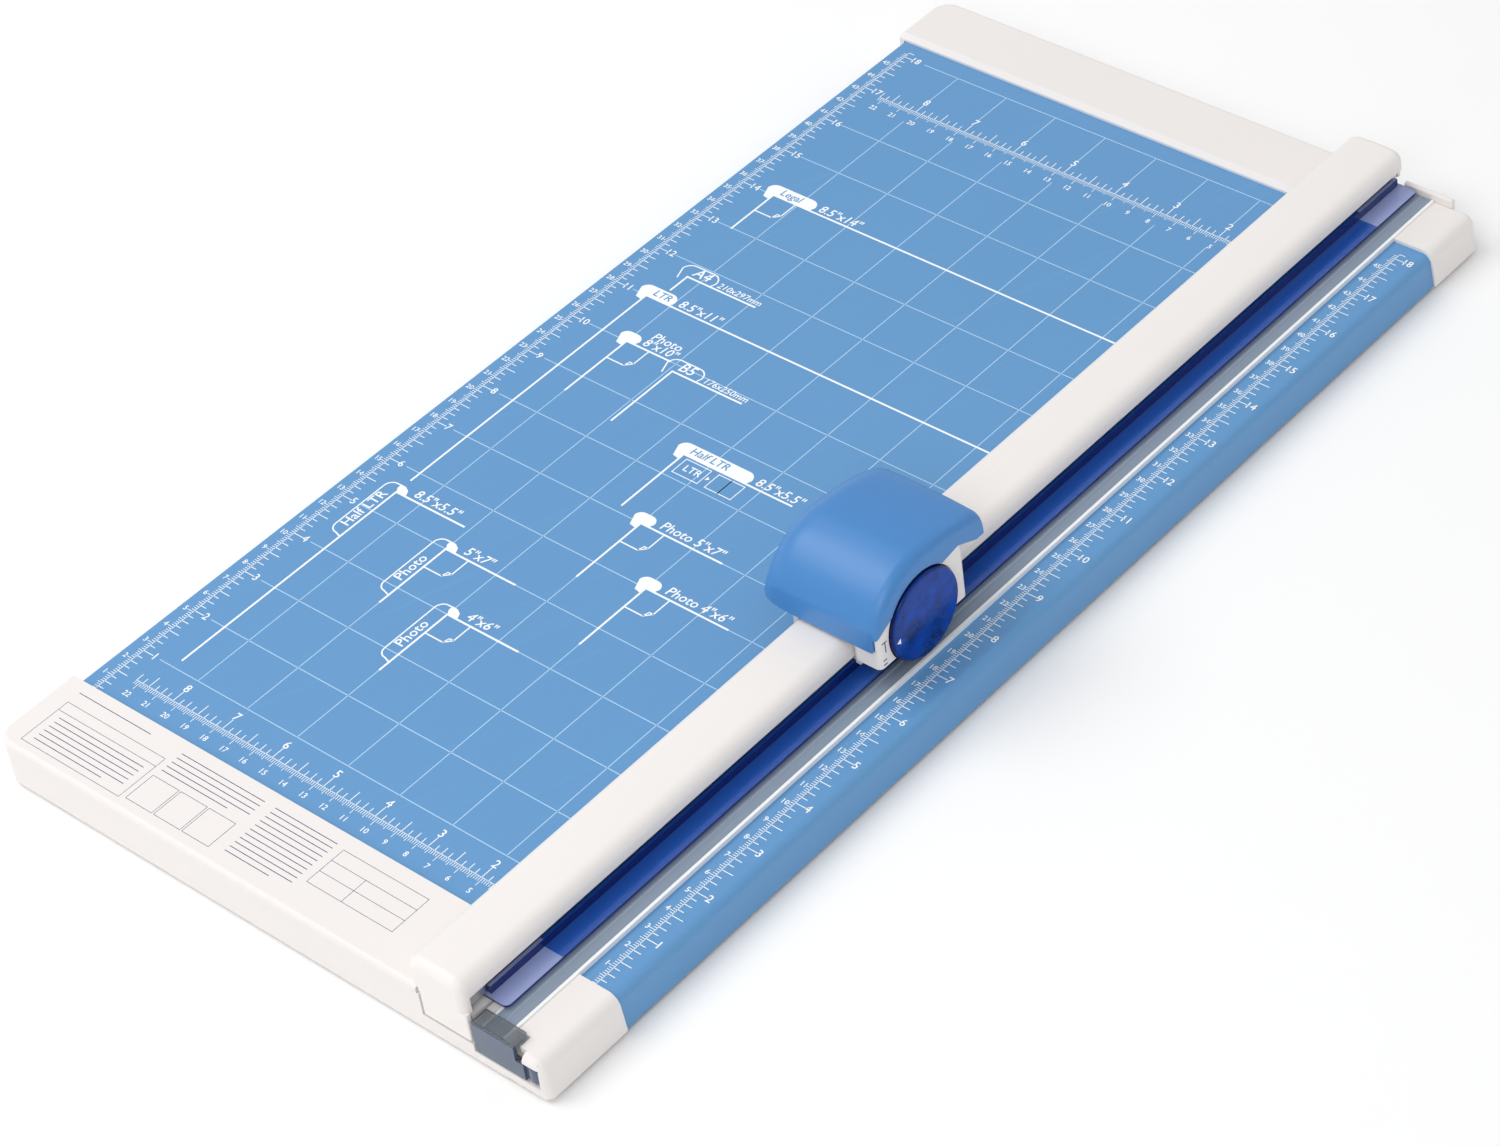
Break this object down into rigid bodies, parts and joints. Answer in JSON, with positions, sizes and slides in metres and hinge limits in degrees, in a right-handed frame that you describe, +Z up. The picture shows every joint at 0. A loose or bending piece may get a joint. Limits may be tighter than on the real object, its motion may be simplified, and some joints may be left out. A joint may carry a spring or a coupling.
{
  "type": "rotary paper trimmer",
  "caption": "Flat cutting board with a clamping rail, a sliding press-down cutting head with a round blade cartridge, a replaceable mat strip and a gate at its end.",
  "frame": {"origin": "middle of the base's outline on the table", "axes": "+Z up, +Y from the front edge to the rear along the cut line, +X to the right, the side with the rail"},
  "size_m": [0.2666, 0.5334, 0.0655],
  "materials": {
    "white_shell": "satin, fine grain",
    "blue_board": "satin paint with printed grid",
    "blue_grip": "satin",
    "clear_blue": "clear tinted plastic",
    "smoke": "smoky tinted plastic",
    "mat_grey": "satin",
    "black_rubber": "matt",
    "steel": "bright",
    "aluminium": "drawn",
    "nylon": "natural",
    "bronze": "plain"
  },
  "bodies": {
    "base": {"base_tray": "white_shell", "stiffening_bars": "steel", "board_plate": "blue_board", "front_cover": "white_shell", "rear_cover": "white_shell", "side_ruler_plate": "blue_board", "front_end_cap": "white_shell", "rear_end_cap": "white_shell", "mat_channel": "white_shell", "cutting_mat": "mat_grey", "gate_pin": "steel", "rubber_feet": "black_rubber", "foot_screws": "steel", "cover_screws": "steel", "guide_bolts": "steel", "front_lift_spring": "steel", "rear_lift_spring": "steel"},
    "gate": {"mat_gate": "smoke"},
    "rail": {"rail_cover": "white_shell", "rail_beam": "aluminium", "paper_guard": "clear_blue", "grip_strip": "black_rubber", "front_guide_block": "nylon", "rear_guide_block": "nylon", "guide_bushes": "bronze", "beam_screws": "steel"},
    "carriage": {"carriage_frame": "white_shell", "slide_pads": "nylon", "head_pins": "steel", "pin_clips": "steel", "front_head_spring": "steel", "rear_head_spring": "steel"},
    "cutting_head": {"handle_shell": "blue_grip", "cutter_housing": "white_shell", "axle_seat": "bronze", "detent_spring": "steel", "handle_screws": "steel"},
    "cartridge": {"cartridge_cover": "clear_blue", "cartridge_hub": "blue_grip", "blade_axle": "steel", "axle_clip": "steel"},
    "blade": {"cutter_blade": "steel", "blade_bush": "nylon", "blade_washer": "steel"}
  },
  "joints": [
    {"name": "rail_press", "type": "slide", "parent": "base", "child": "rail", "axis": [0, 0, -1], "range_m": [0, 0.0008], "stiffness_N_per_m": 30000, "springref_m": -0.0006, "deforming": ["front_lift_spring", "rear_lift_spring"]},
    {"name": "carriage_slide", "type": "slide", "parent": "rail", "child": "carriage", "axis": [0, 1, 0], "range_m": [-0.1905, 0.277]},
    {"name": "head_press", "type": "slide", "parent": "carriage", "child": "cutting_head", "axis": [0, 0, -1], "range_m": [0, 0.0009], "stiffness_N_per_m": 6000, "springref_m": -0.0006, "deforming": ["front_head_spring", "rear_head_spring"]},
    {"name": "cartridge_twist", "type": "hinge", "parent": "cutting_head", "child": "cartridge", "pos_m": [0.10815, -0.0465, 0.03785], "axis": [1, 0, 0], "range_deg": [0, 60]},
    {"name": "blade_spin", "type": "hinge", "parent": "cartridge", "child": "blade", "pos_m": [0.10815, -0.0465, 0.03785], "axis": [1, 0, 0], "continuous": true},
    {"name": "gate_swing", "type": "hinge", "parent": "base", "child": "gate", "pos_m": [0.12655, -0.2634, 0.009], "axis": [0, 0, 1], "range_deg": [0, 90]}
  ]
}
